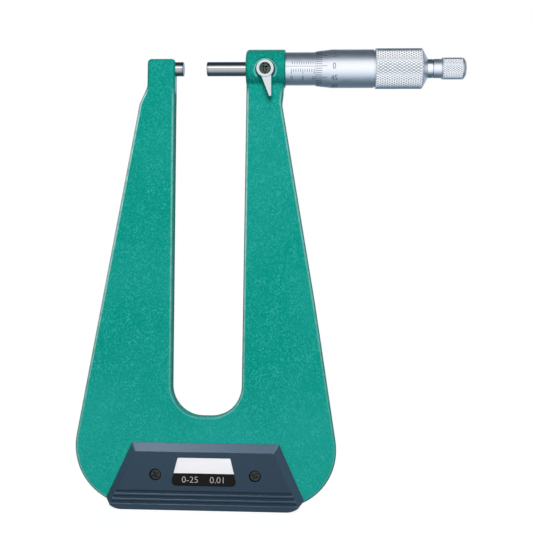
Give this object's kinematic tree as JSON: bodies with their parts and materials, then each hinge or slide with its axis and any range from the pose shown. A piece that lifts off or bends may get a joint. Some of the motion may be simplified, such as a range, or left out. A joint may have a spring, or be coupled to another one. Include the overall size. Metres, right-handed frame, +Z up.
{
  "type": "sheet metal micrometer",
  "caption": "Deep-throat U-frame micrometer for sheet edges, with screw spindle, thimble, ratchet stop, clamp lever and insulating covers.",
  "frame": {"origin": "centre of the anvil's measuring face", "axes": "+X along the measuring axis from the anvil to the ratchet, +Z up from the throat to the heads, the side with the label and lever faces -Y"},
  "size_m": [0.1703, 0.0191, 0.2029],
  "materials": {
    "enamel": "green hammered enamel, semi-gloss",
    "satin_chrome": "satin chrome",
    "polished_chrome": "bright chrome",
    "ground_steel": "ground and polished",
    "machined_steel": "machined",
    "carbide": "lapped carbide",
    "cover_plastic": "moulded slate blue plastic",
    "black_screws": "black oxide",
    "label_print": "printed foil, white over black"
  },
  "bodies": {
    "frame": {"frame": "enamel", "anvil": "ground_steel", "anvil_tip": "carbide", "inner_sleeve": "machined_steel", "adjusting_nut": "machined_steel", "clamp_ring": "machined_steel", "front_pad": "cover_plastic", "back_pad": "cover_plastic", "front_pad_screws": "black_screws", "back_pad_screws": "black_screws", "label_plate": "label_print"},
    "sleeve": {"graduated_sleeve": "satin_chrome"},
    "carrier": {"thimble_washer": "machined_steel"},
    "spindle": {"spindle": "ground_steel", "spindle_tip": "carbide", "thimble": "satin_chrome", "ratchet_body": "satin_chrome", "ratchet_screw": "machined_steel"},
    "ratchet": {"ratchet_cap": "satin_chrome", "click_disc": "machined_steel", "ratchet_spring": "machined_steel"},
    "clamp": {"clamp_lever": "polished_chrome", "clamp_shaft": "machined_steel", "lever_screw": "black_screws"}
  },
  "joints": [
    {"name": "spindle_slide", "type": "slide", "parent": "frame", "child": "carrier", "axis": [1, 0, 0], "range_m": [-0.0105, 0.0145]},
    {"name": "spin", "type": "hinge", "parent": "carrier", "child": "spindle", "pos_m": [0.0583, 0, 0], "axis": [1, 0, 0], "range_deg": [-7570, 10450]},
    {"name": "ratchet_slip", "type": "hinge", "parent": "spindle", "child": "ratchet", "pos_m": [0.118, 0, 0], "axis": [1, 0, 0], "continuous": true},
    {"name": "sleeve_zero", "type": "hinge", "parent": "frame", "child": "sleeve", "pos_m": [0.061, 0, 0], "axis": [1, 0, 0], "range_deg": [-15, 15]},
    {"name": "clamp_turn", "type": "hinge", "parent": "frame", "child": "clamp", "pos_m": [0.0369, 0, -0.0017], "axis": [0, 1, 0], "range_deg": [-15, 60]}
  ],
  "couplings": [
    {"joint": "spin", "follows": "spindle_slide", "rad_per_m": 12566}
  ]
}
